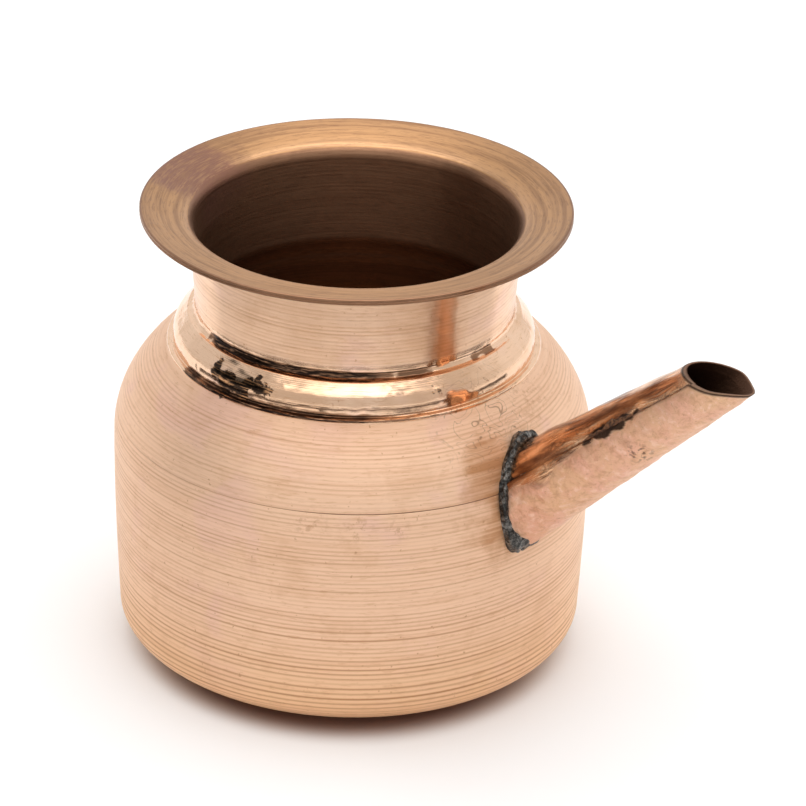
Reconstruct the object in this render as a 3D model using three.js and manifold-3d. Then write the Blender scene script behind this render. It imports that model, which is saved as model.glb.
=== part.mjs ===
// Spouted copper lota: a water pot of two spun shells brazed at the belly, with a rolled spout.
// Millimetres, +Z up. The origin is the centre of the flat underside, and the spout points along +X.
import * as THREE from "three";
import { mergeVertices } from "three/addons/utils/BufferGeometryUtils.js";
import Module from "manifold-3d";

const wasm = await Module();
wasm.setup();

const DEG = Math.PI / 180;

// Sheet and joints
const SHEET = 0.8; // copper sheet, all over
const GAP = 0.3; // clearance kept between neighbouring solids
const SIDES = 48; // facets round the body

// Body, outer surface
const HEIGHT = 100.3;
const BASE_R = 33; // flat underside
const CORNER_R = 49.3; // where the rounded lower corner meets the wall
const CORNER_H = 9.2;
const BELLY_R = 50.65;
const SHOULDER_Z = 48.6; // the wall starts to turn in here
const SHOULDER_TURN = 36 * DEG;
const LEDGE_R = 39.6; // the shoulder ends here in a small upstand and a ledge
const LEDGE_Z = 69.2;
const LEDGE_H = 0.6;
const COLLAR_R = 38.3; // the collar rises from the ledge
const COLLAR_Z = 70;
const COLLAR_BEND = 4.5; // it turns inwards with this radius
const COLLAR_TURN = 42 * DEG; // and then runs straight, at this slope, to the cove
const COVE_R = 1.5; // hollow curve between the collar and the neck
const NECK_R = 33.7;
const NECK_Z = 78;
const THROAT_R = 35; // neck radius where the flare starts
const BEND_Z = 95.55;
const BEND_R = 2.4; // the turn from the neck into the flare, on its underside
const BEND_TURN = 76 * DEG;
const FLARE_PULL = 4.3; // how far the flare keeps near the slope that the bend leaves it with
const RIM_R = 45.5;
const RIM_T = 1.3; // the folded edge, pressed together
const HEM_START = 0.62; // where the fold ends, along the flare from the bend at 0 to the rim at 1

// Brazed belly seam, a V with its wide side out
const SEAM_Z = 53.6;
const SEAM_OUT = 0.9; // half width at the outer surface
const SEAM_IN = 0.5; // half width at the inner surface
const SEAM_CLEAR = 0.2;
const BRAZE_W = 1.6; // half width of the bead inside
const BRAZE_T = 0.6;

// Spout, a tapered tube rolled from sheet
const SPOUT_RISE = 41 * DEG;
const SPOUT_Z = 52.2; // height of its axis at the belly
const SPOUT_LENGTH = 60.2; // along the axis, belly to mouth
const SPOUT_R = 9.6; // outer radius at the belly
const TIP_R = 5.97; // outer radius at the mouth
const MOUTH_DIP = 4.5 * DEG; // the mouth's plane is this far from level, lower at the tip
const SPOUT_SIDES = 28;
const LAP_ANGLE = 70 * DEG; // edge of the lap, from the spout's top towards -Y
const LAP_FADE = 110 * DEG; // the doubled sheet sinks back into the round over this turn
const SPOUT_BURIED = 14; // length behind the belly, before the end is cut to fit

// Solder
const BEAD_W = 3.2; // fillet round the foot of the spout
const LAP_BEAD_W = 1.5;
const LAP_BEAD_T = 0.6;

const AXIS = new THREE.Vector3(Math.cos(SPOUT_RISE), 0, Math.sin(SPOUT_RISE));
const TOP = new THREE.Vector3(-Math.sin(SPOUT_RISE), 0, Math.cos(SPOUT_RISE));
const SIDE = new THREE.Vector3(0, -1, 0);
const FOOT = new THREE.Vector3(BELLY_R, 0, SPOUT_Z);

const point = (r, z) => new THREE.Vector2(r, z);

// n points of make(t) for t in (0, 1], so that a stretch doesn't repeat the point before it.
function stretch(n, make) {
  return Array.from({ length: n }, (_, i) => make((i + 1) / n));
}

// ---- Outline of the body ----

function cornerAndWall() {
  const corner = stretch(6, (t) => {
    const a = (t * Math.PI) / 2;
    return point(BASE_R + (CORNER_R - BASE_R) * Math.sin(a), CORNER_H * (1 - Math.cos(a)));
  });
  const wall = stretch(4, (t) =>
    point(
      CORNER_R + (BELLY_R - CORNER_R) * Math.sin((t * Math.PI) / 2),
      CORNER_H + (SHOULDER_Z - CORNER_H) * t,
    ),
  );
  return [...corner, ...wall];
}

// The shoulder is an elliptical arc from the wall to the ledge.
function shoulderAt(turn) {
  const width = (BELLY_R - LEDGE_R) / (1 - Math.cos(SHOULDER_TURN));
  const height = (LEDGE_Z - SHOULDER_Z) / Math.sin(SHOULDER_TURN);
  return point(BELLY_R - width * (1 - Math.cos(turn)), SHOULDER_Z + height * Math.sin(turn));
}

function shoulderTurnAt(z) {
  return Math.asin(((z - SHOULDER_Z) / (LEDGE_Z - SHOULDER_Z)) * Math.sin(SHOULDER_TURN));
}

function shoulderFrom(z) {
  const start = shoulderTurnAt(z);
  return stretch(6, (t) => shoulderAt(start + (SHOULDER_TURN - start) * t));
}

const ledge = () => [point(LEDGE_R - 0.1, LEDGE_Z + LEDGE_H)];

function collar() {
  const crown = point(NECK_R + COVE_R, NECK_Z - COVE_R);
  const bendEnd = COLLAR_R - COLLAR_BEND * (1 - Math.cos(COLLAR_TURN));
  const straight = (bendEnd - crown.x) / Math.tan(COLLAR_TURN);
  const bendZ = crown.y - straight - COLLAR_BEND * Math.sin(COLLAR_TURN);
  const bend = stretch(4, (t) => {
    const a = COLLAR_TURN * t;
    return point(COLLAR_R - COLLAR_BEND * (1 - Math.cos(a)), bendZ + COLLAR_BEND * Math.sin(a));
  });
  return [point(COLLAR_R, COLLAR_Z), point(COLLAR_R, bendZ), ...bend, crown];
}

function coveAndNeck() {
  const cove = stretch(3, (t) => {
    const a = (t * Math.PI) / 2;
    return point(NECK_R + COVE_R * (1 - Math.sin(a)), NECK_Z - COVE_R * Math.cos(a));
  });
  const neck = stretch(3, (t) =>
    point(NECK_R + (THROAT_R - NECK_R) * t, NECK_Z + (BEND_Z - NECK_Z) * t),
  );
  return [...cove, ...neck];
}

const bendAt = (turn) =>
  point(THROAT_R + BEND_R * (1 - Math.cos(turn)), BEND_Z + BEND_R * Math.sin(turn));

// Underside of the flare, from the bend to the rim.
function flareCurve() {
  const start = bendAt(BEND_TURN);
  const pull = point(Math.sin(BEND_TURN), Math.cos(BEND_TURN)).multiplyScalar(FLARE_PULL);
  return new THREE.QuadraticBezierCurve(start, start.clone().add(pull), point(RIM_R, HEIGHT - SHEET));
}

const bend = () => stretch(4, (t) => bendAt(BEND_TURN * t));
const flareTo = (end) => stretch(3, (t) => flareCurve().getPoint(t * end));

// The outline moved by distance to its left as it is walked upwards, which is into the pot.
function offset(outline, distance) {
  return outline.map((p, i) => {
    const before = outline[Math.max(i - 1, 0)];
    const after = outline[Math.min(i + 1, outline.length - 1)];
    const along = after.clone().sub(before).normalize();
    return point(p.x - along.y * distance, p.y + along.x * distance);
  });
}

// ---- Solids ----

function lathe(profile) {
  return new THREE.LatheGeometry(profile, SIDES).rotateX(Math.PI / 2);
}

function toSolid(geometry) {
  const bare = geometry.clone();
  bare.deleteAttribute("normal");
  bare.deleteAttribute("uv");
  const merged = mergeVertices(bare, 1e-4);
  return new wasm.Manifold(
    new wasm.Mesh({
      numProp: 3,
      vertProperties: merged.attributes.position.array,
      triVerts: new Uint32Array(merged.index.array),
    }),
  );
}

function toGeometry(solid) {
  const { vertProperties, triVerts } = solid.getMesh();
  const geometry = new THREE.BufferGeometry();
  geometry.setAttribute("position", new THREE.BufferAttribute(vertProperties, 3));
  geometry.setIndex(new THREE.BufferAttribute(triVerts, 1));
  geometry.computeVertexNormals();
  return geometry;
}

function cut(geometry, tool) {
  return toGeometry(toSolid(geometry).subtract(toSolid(tool)));
}

// A solid skin over rings of points, each ring with as many points as the next.
// A closed loft joins its last ring to its first; an open one gets flat ends.
function loft(rings, closed) {
  const across = rings[0].length;
  const positions = rings.flat().flatMap((p) => [p.x, p.y, p.z]);
  const index = [];
  const last = closed ? rings.length : rings.length - 1;
  for (let i = 0; i < last; i++) {
    for (let j = 0; j < across; j++) {
      const a = i * across + j;
      const b = i * across + ((j + 1) % across);
      const c = ((i + 1) % rings.length) * across + j;
      const d = ((i + 1) % rings.length) * across + ((j + 1) % across);
      index.push(a, b, d, a, d, c);
    }
  }
  if (!closed) {
    const end = (rings.length - 1) * across;
    for (let j = 1; j < across - 1; j++) {
      index.push(0, j + 1, j);
      index.push(end, end + j, end + j + 1);
    }
  }
  const geometry = new THREE.BufferGeometry();
  geometry.setAttribute("position", new THREE.Float32BufferAttribute(positions, 3));
  geometry.setIndex(index);
  return geometry;
}

// ---- Spout ----

const radial = (angle) =>
  TOP.clone().multiplyScalar(Math.cos(angle)).addScaledVector(SIDE, Math.sin(angle));

// The point on the spout at a distance along its axis, an angle from its top, and a radius.
const onSpout = (along, angle, radius) =>
  FOOT.clone().addScaledVector(AXIS, along).addScaledVector(radial(angle), radius);

const outerRadius = (along) => SPOUT_R + ((TIP_R - SPOUT_R) * along) / SPOUT_LENGTH;

// How far the lapped edge stands proud of the round.
function lapHeight(angle) {
  const behind = (angle - LAP_ANGLE) / LAP_FADE;
  return behind >= 0 && behind < 1 ? SHEET * (1 - behind) : 0;
}

// The distance along the axis at which the spout's surface meets the mouth's plane.
function mouthAt(angle, stand) {
  const normal = new THREE.Vector3(Math.sin(MOUTH_DIP), 0, Math.cos(MOUTH_DIP));
  const lean = radial(angle).dot(normal);
  const slope = (TIP_R - SPOUT_R) / SPOUT_LENGTH;
  return (SPOUT_LENGTH * AXIS.dot(normal) - (SPOUT_R + stand) * lean) / (AXIS.dot(normal) + slope * lean);
}

// Once round the tube from the lap's edge to its foot, which lies just under the edge.
function spoutAngles() {
  const step = 0.5 * DEG;
  return [LAP_ANGLE, ...stretch(SPOUT_SIDES, (t) => LAP_ANGLE + (2 * Math.PI - step) * t)];
}

// A ring of the tube at a distance along it, or at the mouth if along is null.
// Stand is 0 for the outer surface, which alone has the lap's step.
function spoutRing(along, stand) {
  return spoutAngles().map((angle) => {
    const lap = stand === 0 ? lapHeight(angle) : 0;
    const distance = along ?? mouthAt(angle, stand + lap);
    return onSpout(distance, angle, outerRadius(distance) + stand + lap);
  });
}

// The belly as one solid, swollen by the clearance, to shape the foot of the spout.
function bellyForm() {
  const outline = [...cornerAndWall(), ...shoulderFrom(SHOULDER_Z)];
  const swollen = offset(outline, -GAP);
  return lathe([point(0, -GAP), point(BASE_R, -GAP), ...swollen, point(0, LEDGE_Z + GAP)]);
}

function spoutTube() {
  const rings = [
    spoutRing(-SPOUT_BURIED, 0),
    spoutRing(null, 0),
    spoutRing(null, -SHEET),
    spoutRing(-SPOUT_BURIED, -SHEET),
  ];
  return cut(loft(rings, true), bellyForm());
}

// The water way through the wall, as wide as the spout's bore.
function bore() {
  const length = 2 * SPOUT_BURIED;
  const ends = [-SPOUT_BURIED, SPOUT_BURIED].map((s) => outerRadius(s) - SHEET);
  return new THREE.CylinderGeometry(ends[1], ends[0], length, SPOUT_SIDES)
    .rotateX(Math.PI / 2)
    .rotateY(Math.PI / 2 - SPOUT_RISE)
    .translate(FOOT.x, FOOT.y, FOOT.z);
}

// ---- Shells and their seam ----

function lowerBowl() {
  const seam = shoulderAt(shoulderTurnAt(SEAM_Z - SEAM_OUT));
  const outer = [...cornerAndWall(), seam];
  const inner = offset(outer, SHEET).slice(0, -1).reverse();
  const edge = point(seam.x - SHEET, SEAM_Z - SEAM_IN);
  const profile = [point(0, 0), point(BASE_R, 0), ...outer, edge, ...inner];
  return cut(lathe([...profile, point(BASE_R, SHEET), point(0, SHEET)]), bore());
}

function upperShell() {
  const seam = shoulderAt(shoulderTurnAt(SEAM_Z + SEAM_OUT));
  const shoulder = [seam, ...shoulderFrom(SEAM_Z + SEAM_OUT)];
  const above = [...coveAndNeck(), ...bend()];
  const outer = [...shoulder, ...ledge(), ...collar(), ...above, ...flareTo(HEM_START)];
  const plain = [...shoulder, ...collar().slice(1), ...above, ...flareTo(1)];
  const inner = offset(plain, SHEET).slice(1, -1).reverse();
  const fold = flareCurve().getPoint(HEM_START);
  const hem = [
    point(fold.x, fold.y + SHEET - RIM_T),
    point(RIM_R, HEIGHT - RIM_T),
    point(RIM_R, HEIGHT),
  ];
  const edge = point(seam.x - SHEET, SEAM_Z + SEAM_IN);
  return cut(lathe([...outer, ...hem, ...inner, edge, outer[0]]), bore());
}

function bodySeam() {
  const r = shoulderAt(shoulderTurnAt(SEAM_Z)).x;
  const out = SEAM_OUT - SEAM_CLEAR;
  const web = SEAM_IN - SEAM_CLEAR;
  const inside = shoulderAt(shoulderTurnAt(SEAM_Z + BRAZE_W)).x - SHEET - 2 * SEAM_CLEAR;
  const profile = [
    point(r, SEAM_Z - out),
    point(r, SEAM_Z + out),
    point(r - SHEET, SEAM_Z + web),
    point(inside, SEAM_Z + web),
    point(inside, SEAM_Z + BRAZE_W),
    point(inside - BRAZE_T, SEAM_Z + BRAZE_W / 2),
    point(inside - BRAZE_T, SEAM_Z - BRAZE_W / 2),
    point(inside, SEAM_Z - BRAZE_W),
    point(inside, SEAM_Z - web),
    point(r - SHEET, SEAM_Z - web),
  ];
  return cut(lathe([...profile, profile[0]]), bore());
}

// ---- Solder ----

// Where the spout's surface at an angle leaves the belly, found by halving.
function leavesBelly(angle) {
  let inside = -SPOUT_BURIED;
  let outside = SPOUT_BURIED;
  for (let i = 0; i < 30; i++) {
    const middle = (inside + outside) / 2;
    const p = onSpout(middle, angle, outerRadius(middle));
    if (Math.hypot(p.x, p.y) < bellyRadiusAt(p.z)) inside = middle;
    else outside = middle;
  }
  return onSpout(outside, angle, outerRadius(outside));
}

function bellyRadiusAt(z) {
  if (z > SHOULDER_Z) return shoulderAt(shoulderTurnAt(z)).x;
  const rise = (z - CORNER_H) / (SHOULDER_Z - CORNER_H);
  return CORNER_R + (BELLY_R - CORNER_R) * Math.sin((rise * Math.PI) / 2);
}

function bellyNormalAt(p) {
  const slope = (bellyRadiusAt(p.z + 0.1) - bellyRadiusAt(p.z - 0.1)) / 0.2;
  const round = Math.hypot(p.x, p.y);
  return new THREE.Vector3(p.x / round, p.y / round, -slope).normalize();
}

// One section of the fillet: its corner, its foot on the belly, a swelling crown, its foot on the spout.
function beadSection(angle) {
  const start = leavesBelly(angle);
  const ahead = leavesBelly(angle + 1 * DEG).sub(leavesBelly(angle - 1 * DEG)).normalize();
  const belly = bellyNormalAt(start);
  const spout = radial(angle);
  const stand = (GAP + lapHeight(angle)) / (1 + belly.dot(spout));
  const corner = start.clone().addScaledVector(belly, stand).addScaledVector(spout, stand);
  const overBelly = new THREE.Vector3().crossVectors(ahead, belly).normalize();
  if (overBelly.dot(spout) < 0) overBelly.negate();
  const at = (b, s) =>
    corner.clone().addScaledVector(overBelly, b * BEAD_W).addScaledVector(AXIS, s * BEAD_W);
  return [at(0, 0), at(0, 1), at(0.3, 0.95), at(0.62, 0.62), at(0.95, 0.3), at(1, 0)];
}

function jointSolder() {
  const angles = Array.from({ length: 40 }, (_, i) => (i * 2 * Math.PI) / 40);
  return loft(angles.map(beadSection), true);
}

// The strip of solder in the corner of the lap, from the foot's fillet almost to the mouth.
function lapSolder() {
  const start = leavesBelly(LAP_ANGLE).sub(FOOT).dot(AXIS) + 1.5 * BEAD_W;
  const end = mouthAt(LAP_ANGLE, 0) - LAP_BEAD_W;
  const rings = Array.from({ length: 9 }, (_, i) => {
    const along = start + ((end - start) * i) / 8;
    const round = outerRadius(along);
    const edge = LAP_ANGLE - GAP / round;
    const far = LAP_ANGLE - (GAP + LAP_BEAD_W) / round;
    return [
      onSpout(along, far, round + GAP / 2),
      onSpout(along, far, round + 0.2 * LAP_BEAD_T + GAP / 2),
      onSpout(along, (edge + far) / 2, round + 0.7 * LAP_BEAD_T + GAP / 2),
      onSpout(along, edge, round + LAP_BEAD_T + GAP / 2),
      onSpout(along, edge, round + GAP / 2),
    ];
  });
  return loft(rings, false);
}

// ---- Materials ----

const finish = (color, roughness, metalness) =>
  new THREE.MeshStandardMaterial({ color, roughness, metalness });

const MATERIALS = {
  turned: finish(0xe2b08a, 0.32, 1.0),
  brushed: finish(0xdaa57c, 0.34, 1.0),
  braze: finish(0xb98a58, 0.45, 1.0),
  pickled: finish(0xd08c68, 0.45, 1.0),
  seam: finish(0x3a2a22, 0.7, 0.6),
  solder: finish(0x45474a, 0.55, 0.8),
};

// ---- Assembly ----

function piece(name, geometry, material) {
  const mesh = new THREE.Mesh(geometry, material);
  mesh.name = name;
  return mesh;
}

function body() {
  const group = new THREE.Group();
  group.add(piece("lower_bowl", lowerBowl(), MATERIALS.turned));
  group.add(piece("upper_shell", upperShell(), MATERIALS.brushed));
  group.add(piece("body_seam_braze", bodySeam(), MATERIALS.braze));
  return group;
}

function spout() {
  const group = new THREE.Group();
  group.add(piece("spout_tube", spoutTube(), MATERIALS.pickled));
  group.add(piece("spout_seam_solder", lapSolder(), MATERIALS.seam));
  group.add(piece("spout_joint_solder", jointSolder(), MATERIALS.solder));
  return group;
}

const lota = new THREE.Group();
lota.add(body(), spout());

export default lota;
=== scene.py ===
"""The looks of a spouted copper lota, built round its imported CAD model. Blender 4.5.

Lengths in the constants and outlines are millimetres, as in the part's source. Meshes are in
metres, and so are the sizes of stains and bumps in the materials.
The spout points along +X, and its lap faces -Y.
"""

import math

import bmesh
import bpy
import numpy as np
from mathutils import Matrix, Vector, kdtree


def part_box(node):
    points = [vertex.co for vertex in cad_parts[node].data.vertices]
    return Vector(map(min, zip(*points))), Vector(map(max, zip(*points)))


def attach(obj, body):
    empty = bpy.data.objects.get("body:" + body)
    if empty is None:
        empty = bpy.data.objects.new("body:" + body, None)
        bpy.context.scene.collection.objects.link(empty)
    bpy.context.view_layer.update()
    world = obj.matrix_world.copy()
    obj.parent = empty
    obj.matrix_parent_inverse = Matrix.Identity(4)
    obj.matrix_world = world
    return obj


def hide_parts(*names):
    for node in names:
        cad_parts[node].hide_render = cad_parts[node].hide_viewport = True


MM = 0.001
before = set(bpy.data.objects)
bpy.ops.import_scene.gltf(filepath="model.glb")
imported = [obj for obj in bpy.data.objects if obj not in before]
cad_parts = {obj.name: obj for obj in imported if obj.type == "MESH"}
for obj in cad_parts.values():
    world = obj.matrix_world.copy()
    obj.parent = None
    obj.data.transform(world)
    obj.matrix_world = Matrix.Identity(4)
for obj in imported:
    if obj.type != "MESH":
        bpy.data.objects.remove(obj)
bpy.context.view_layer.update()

# ---- Driving dimensions ----

SHEET = 0.8  # thickness of the copper
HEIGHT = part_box("upper_shell")[1].z / MM
BELLY_R = -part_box("lower_bowl")[0].x / MM
RIM_R = 45.5
BASE_R = 33.0  # the flat underside
CORNER_R = 49.3  # where the rounded lower corner runs into the wall
CORNER_H = 9.2
SHOULDER_Z = 48.6  # the belly is widest here, and the shoulder starts
SHOULDER_TURN = math.radians(36)  # how much of an ellipse the shoulder takes
LEDGE_R = 39.6  # the small upstand that ends the shoulder
LEDGE_Z = 69.2
COLLAR_R = 38.3  # the polished band above it
COLLAR_Z = 70.0
COLLAR_BEND = 4.5  # radius of its turn inwards
COLLAR_TURN = math.radians(42)  # lean of its upper part
COVE_R = 1.5  # the hollow between the collar and the neck
NECK_R = 33.7
NECK_Z = 78.0
THROAT_R = 35.0  # the neck's radius at its top
BEND_Z = 95.55  # where the neck starts to bend outwards
BEND_R = 2.4
BEND_TURN = math.radians(76)  # how far it bends
FLARE_PULL = 4.3  # how far the flare is drawn along the bend's last direction
RIM_T = 1.3  # thickness of the hemmed edge
HEM_START = 0.62  # share of the flare's underside that the hem leaves bare
HEM_CREASE = 0.66  # depth of the crease in the edge below its top
SEAM_Z = 53.6
SEAM_HALF = 0.10  # half the height of the belly seam
OUTLINE_STEP = 0.2  # between the points of an outline
SIDES = 160  # faces round the pot

SPOUT_RISE = math.radians(41)
SPOUT_Z = 52.2  # where the spout's axis crosses the radius of the belly
SPOUT_LENGTH = 60.2  # from there to the mouth
SPOUT_R = 9.6
TIP_R = 5.97
MOUTH_WALL = 0.42  # thickness of the wall at the filed mouth
BURIED = 14.0  # reach of the water way to each side of that crossing
MOUTH_DIP = math.radians(4.5)  # tilt of the mouth from level
LAP_ANGLE = math.radians(70)  # the lap's edge, round from the spout's top towards -Y
LAP_FADE = math.radians(110)  # how far round the step of the lap takes to fall away
BURN_ALONG = 33.0  # middle of the burnt part of the lap

CAMERA_AZIMUTH = math.radians(39)  # round from -Y towards +X
CAMERA_ELEVATION = math.radians(26.64)
CAMERA_DISTANCE = 1300.0
CAMERA_ROLL = math.radians(1.416)
CAMERA_LENS = 272.9
CAMERA_SENSOR = 36
AIM_Z = 52.0  # the point on the pot's axis that the camera is set out from
AIM_RIGHT = 10.73  # how far the camera stands to the right of that, and up, as it sees them
AIM_UP = 1.95

RNG = np.random.default_rng(7)  # for the turning marks, the bowl's first


# ---- Outline of the body, as arrays of radius and height ----


def arc_points(length, step):
    """Places from just above 0 to 1, about step millimetres apart over a stretch of that length."""
    return np.linspace(0, 1, max(2, round(length / step)) + 1)[1:]


def corner_and_wall(step):
    corner_length = 22
    turn = arc_points(corner_length, step) * math.pi / 2
    corner = np.stack([BASE_R + (CORNER_R - BASE_R) * np.sin(turn), CORNER_H * (1 - np.cos(turn))], 1)
    t = arc_points(SHOULDER_Z - CORNER_H, step)
    radius = CORNER_R + (BELLY_R - CORNER_R) * np.sin(t * math.pi / 2)
    wall = np.stack([radius, CORNER_H + (SHOULDER_Z - CORNER_H) * t], 1)
    return np.concatenate([corner, wall])


def shoulder_at(turn):
    """The point of the shoulder's ellipse at that angle from the belly's widest place."""
    width = (BELLY_R - LEDGE_R) / (1 - math.cos(SHOULDER_TURN))
    height = (LEDGE_Z - SHOULDER_Z) / math.sin(SHOULDER_TURN)
    return np.stack([BELLY_R - width * (1 - np.cos(turn)), SHOULDER_Z + height * np.sin(turn)], -1)


def shoulder_turn(z):
    return np.arcsin((z - SHOULDER_Z) / (LEDGE_Z - SHOULDER_Z) * math.sin(SHOULDER_TURN))


def shoulder_between(low, high, step):
    start, end = shoulder_turn(low), shoulder_turn(high)
    slant = 1.2
    t = arc_points((high - low) * slant, step)
    return shoulder_at(start + (end - start) * t)


def bezier(a, b, c, n):
    """n points after a, on the curve from a to c that is pulled towards b."""
    t = np.linspace(0, 1, n + 1)[1:, None]
    a, b, c = map(np.array, (a, b, c))
    return (1 - t) ** 2 * a + 2 * t * (1 - t) * b + t**2 * c


def ledge():
    """The small upstand that ends the shoulder, and the flat behind it."""
    top = (LEDGE_R - 0.35, LEDGE_Z + 0.72)
    lip = bezier((LEDGE_R, LEDGE_Z), (LEDGE_R + 0.05, LEDGE_Z + 0.62), top, 6)
    flat = bezier(top, (COLLAR_R + 0.3, COLLAR_Z), (COLLAR_R, COLLAR_Z), 5)
    return np.concatenate([lip, flat])


def collar(step):
    """The band over the ledge: upright, then bending in, then straight up to the crease under the neck."""
    crown_r, crown_z = NECK_R + COVE_R, NECK_Z - COVE_R
    bend_end = COLLAR_R - COLLAR_BEND * (1 - math.cos(COLLAR_TURN))
    straight = (bend_end - crown_r) / math.tan(COLLAR_TURN)
    bend_z = crown_z - straight - COLLAR_BEND * math.sin(COLLAR_TURN)
    upright = np.stack([np.full(7, COLLAR_R), np.linspace(COLLAR_Z, bend_z, 8)[1:]], 1)
    turn = COLLAR_TURN * arc_points(COLLAR_BEND * COLLAR_TURN, step)
    bend = np.stack([COLLAR_R - COLLAR_BEND * (1 - np.cos(turn)), bend_z + COLLAR_BEND * np.sin(turn)], 1)
    slope_length = 2.9
    slope = bend[-1] + arc_points(slope_length, step)[:, None] * (np.array([crown_r, crown_z]) - bend[-1])
    return np.concatenate([upright, bend, slope])


def cove_and_neck(step):
    turn = arc_points(COVE_R * math.pi / 2, step * 0.7) * math.pi / 2
    cove = np.stack([NECK_R + COVE_R * (1 - np.sin(turn)), NECK_Z - COVE_R * np.cos(turn)], 1)
    t = arc_points(BEND_Z - NECK_Z, step)
    neck = np.stack([NECK_R + (THROAT_R - NECK_R) * t, NECK_Z + (BEND_Z - NECK_Z) * t], 1)
    return np.concatenate([cove, neck])


def bend_at(turn):
    return np.stack([THROAT_R + BEND_R * (1 - np.cos(turn)), BEND_Z + BEND_R * np.sin(turn)], -1)


def flare(step):
    """Underside of the flare: the bend out of the neck, then nearly flat to the rim."""
    start = bend_at(BEND_TURN)
    pull = start + FLARE_PULL * np.array([math.sin(BEND_TURN), math.cos(BEND_TURN)])
    bend = bend_at(BEND_TURN * arc_points(BEND_R * BEND_TURN, step * 0.7))
    bell_length = 9
    return bend, bezier(start, pull, (RIM_R, HEIGHT - SHEET), round(bell_length / step))


def normals_of(outline):
    """Unit normals, to the right of the way the outline runs, which is outwards as it climbs."""
    along = np.gradient(outline, axis=0)
    along /= np.maximum(np.hypot(along[:, 0], along[:, 1]), 1e-9)[:, None]
    return np.stack([along[:, 1], -along[:, 0]], 1)


def smooth(x, low, high):
    """0 up to low and 1 from high, with a soft step between."""
    t = np.clip((x - low) / (high - low), 0, 1)
    return t * t * (3 - 2 * t)


def lengths_of(outline):
    return np.concatenate([[0], np.cumsum(np.hypot(*np.diff(outline, axis=0).T))])


# ---- Meshes ----


def put_in_scene(name, data):
    obj = bpy.data.objects.new(name, data)
    bpy.context.scene.collection.objects.link(obj)
    return obj


def make_object(name, vertices, faces, smooth_faces=True):
    """An object from points in millimetres."""
    mesh = bpy.data.meshes.new(name)
    mesh.from_pydata((np.asarray(vertices) * MM).tolist(), [], faces)
    mesh.validate()
    if smooth_faces:
        mesh.polygons.foreach_set("use_smooth", [True] * len(mesh.polygons))
    return put_in_scene(name, mesh)


def grid_faces(rows, columns, close_rows=False):
    """Faces over a grid of points whose columns close on themselves."""
    faces = []
    for i in range(rows if close_rows else rows - 1):
        a, b = i * columns, ((i + 1) % rows) * columns
        faces += [(a + j, a + (j + 1) % columns, b + (j + 1) % columns, b + j) for j in range(columns)]
    return faces


def revolve(name, outline, depth, sides):
    """A solid of revolution. depth(k, angle) pushes point k of the outline inwards along its normal."""
    angles = np.arange(sides) * 2 * math.pi / sides
    normal = normals_of(outline)
    on_axis = outline[:, 0] < 1e-6
    rows = []
    for k in range(len(outline)):
        push = np.zeros(sides) if on_axis[k] else depth(k, angles)
        r = outline[k, 0] - push * normal[k, 0]
        z = outline[k, 1] - push * normal[k, 1]
        rows.append(np.stack([r * np.cos(angles), r * np.sin(angles), z], 1))
    keep = [k for k in range(len(outline)) if not on_axis[k]]
    vertices = [rows[k] for k in keep]
    faces = grid_faces(len(keep), sides, close_rows=not on_axis.any())
    if on_axis.any():
        first, last = len(keep) * sides, len(keep) * sides + 1
        vertices.append(np.array([[0, 0, outline[0, 1]], [0, 0, outline[-1, 1]]]))
        faces += [(first, (j + 1) % sides, j) for j in range(sides)]
        end = (len(keep) - 1) * sides
        faces += [(last, end + j, end + (j + 1) % sides) for j in range(sides)]
    return make_object(name, np.concatenate(vertices), faces)


def set_attribute(obj, name, values):
    attribute = obj.data.attributes.new(name, "FLOAT", "POINT")
    attribute.data.foreach_set("value", np.asarray(values, np.float32))


def coordinates(obj):
    co = np.zeros(len(obj.data.vertices) * 3)
    obj.data.vertices.foreach_get("co", co)
    return co.reshape(-1, 3) / MM


def nearest_on(outline, obj):
    """For each vertex, the place on the outline that it was turned from."""
    tree = kdtree.KDTree(len(outline))
    for k, (r, z) in enumerate(outline):
        tree.insert((r, z, 0), k)
    tree.balance()
    co = coordinates(obj)
    radius = np.hypot(co[:, 0], co[:, 1])
    return np.array([tree.find((r, z, 0))[1] for r, z in zip(radius, co[:, 2])])


def bore_through(obj):
    """Cuts the water way behind the spout through a wall."""
    steps = 64
    ends = [(s, spout_radius(s) - SHEET) for s in (-BURIED, BURIED)]
    angles = np.arange(steps) * 2 * math.pi / steps
    rings = [on_spout(np.full(steps, s), angles, r) for s, r in ends]
    caps = [tuple(range(steps)), tuple(range(2 * steps - 1, steps - 1, -1))]
    cutter = make_object("cutter", np.concatenate(rings), grid_faces(2, steps) + caps, False)
    fix_normals(cutter)
    modifier = obj.modifiers.new("bore", "BOOLEAN")
    modifier.operation = "DIFFERENCE"
    modifier.solver = "MANIFOLD"
    modifier.object = cutter
    apply_modifiers(obj)
    bpy.data.objects.remove(cutter)


def apply_modifiers(obj):
    evaluated = obj.evaluated_get(bpy.context.evaluated_depsgraph_get())
    mesh = bpy.data.meshes.new_from_object(evaluated)
    obj.modifiers.clear()
    obj.data = mesh


def fix_normals(obj):
    bm = bmesh.new()
    bm.from_mesh(obj.data)
    bmesh.ops.recalc_face_normals(bm, faces=bm.faces)
    bm.to_mesh(obj.data)
    bm.free()


# ---- Spout geometry ----

AXIS = np.array([math.cos(SPOUT_RISE), 0, math.sin(SPOUT_RISE)])
TOP = np.array([-math.sin(SPOUT_RISE), 0, math.cos(SPOUT_RISE)])
SIDE = np.array([0.0, -1.0, 0.0])
FOOT = np.array([BELLY_R, 0, SPOUT_Z])


def radial(angle):
    angle = np.asarray(angle)[..., None]
    return TOP * np.cos(angle) + SIDE * np.sin(angle)


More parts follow.
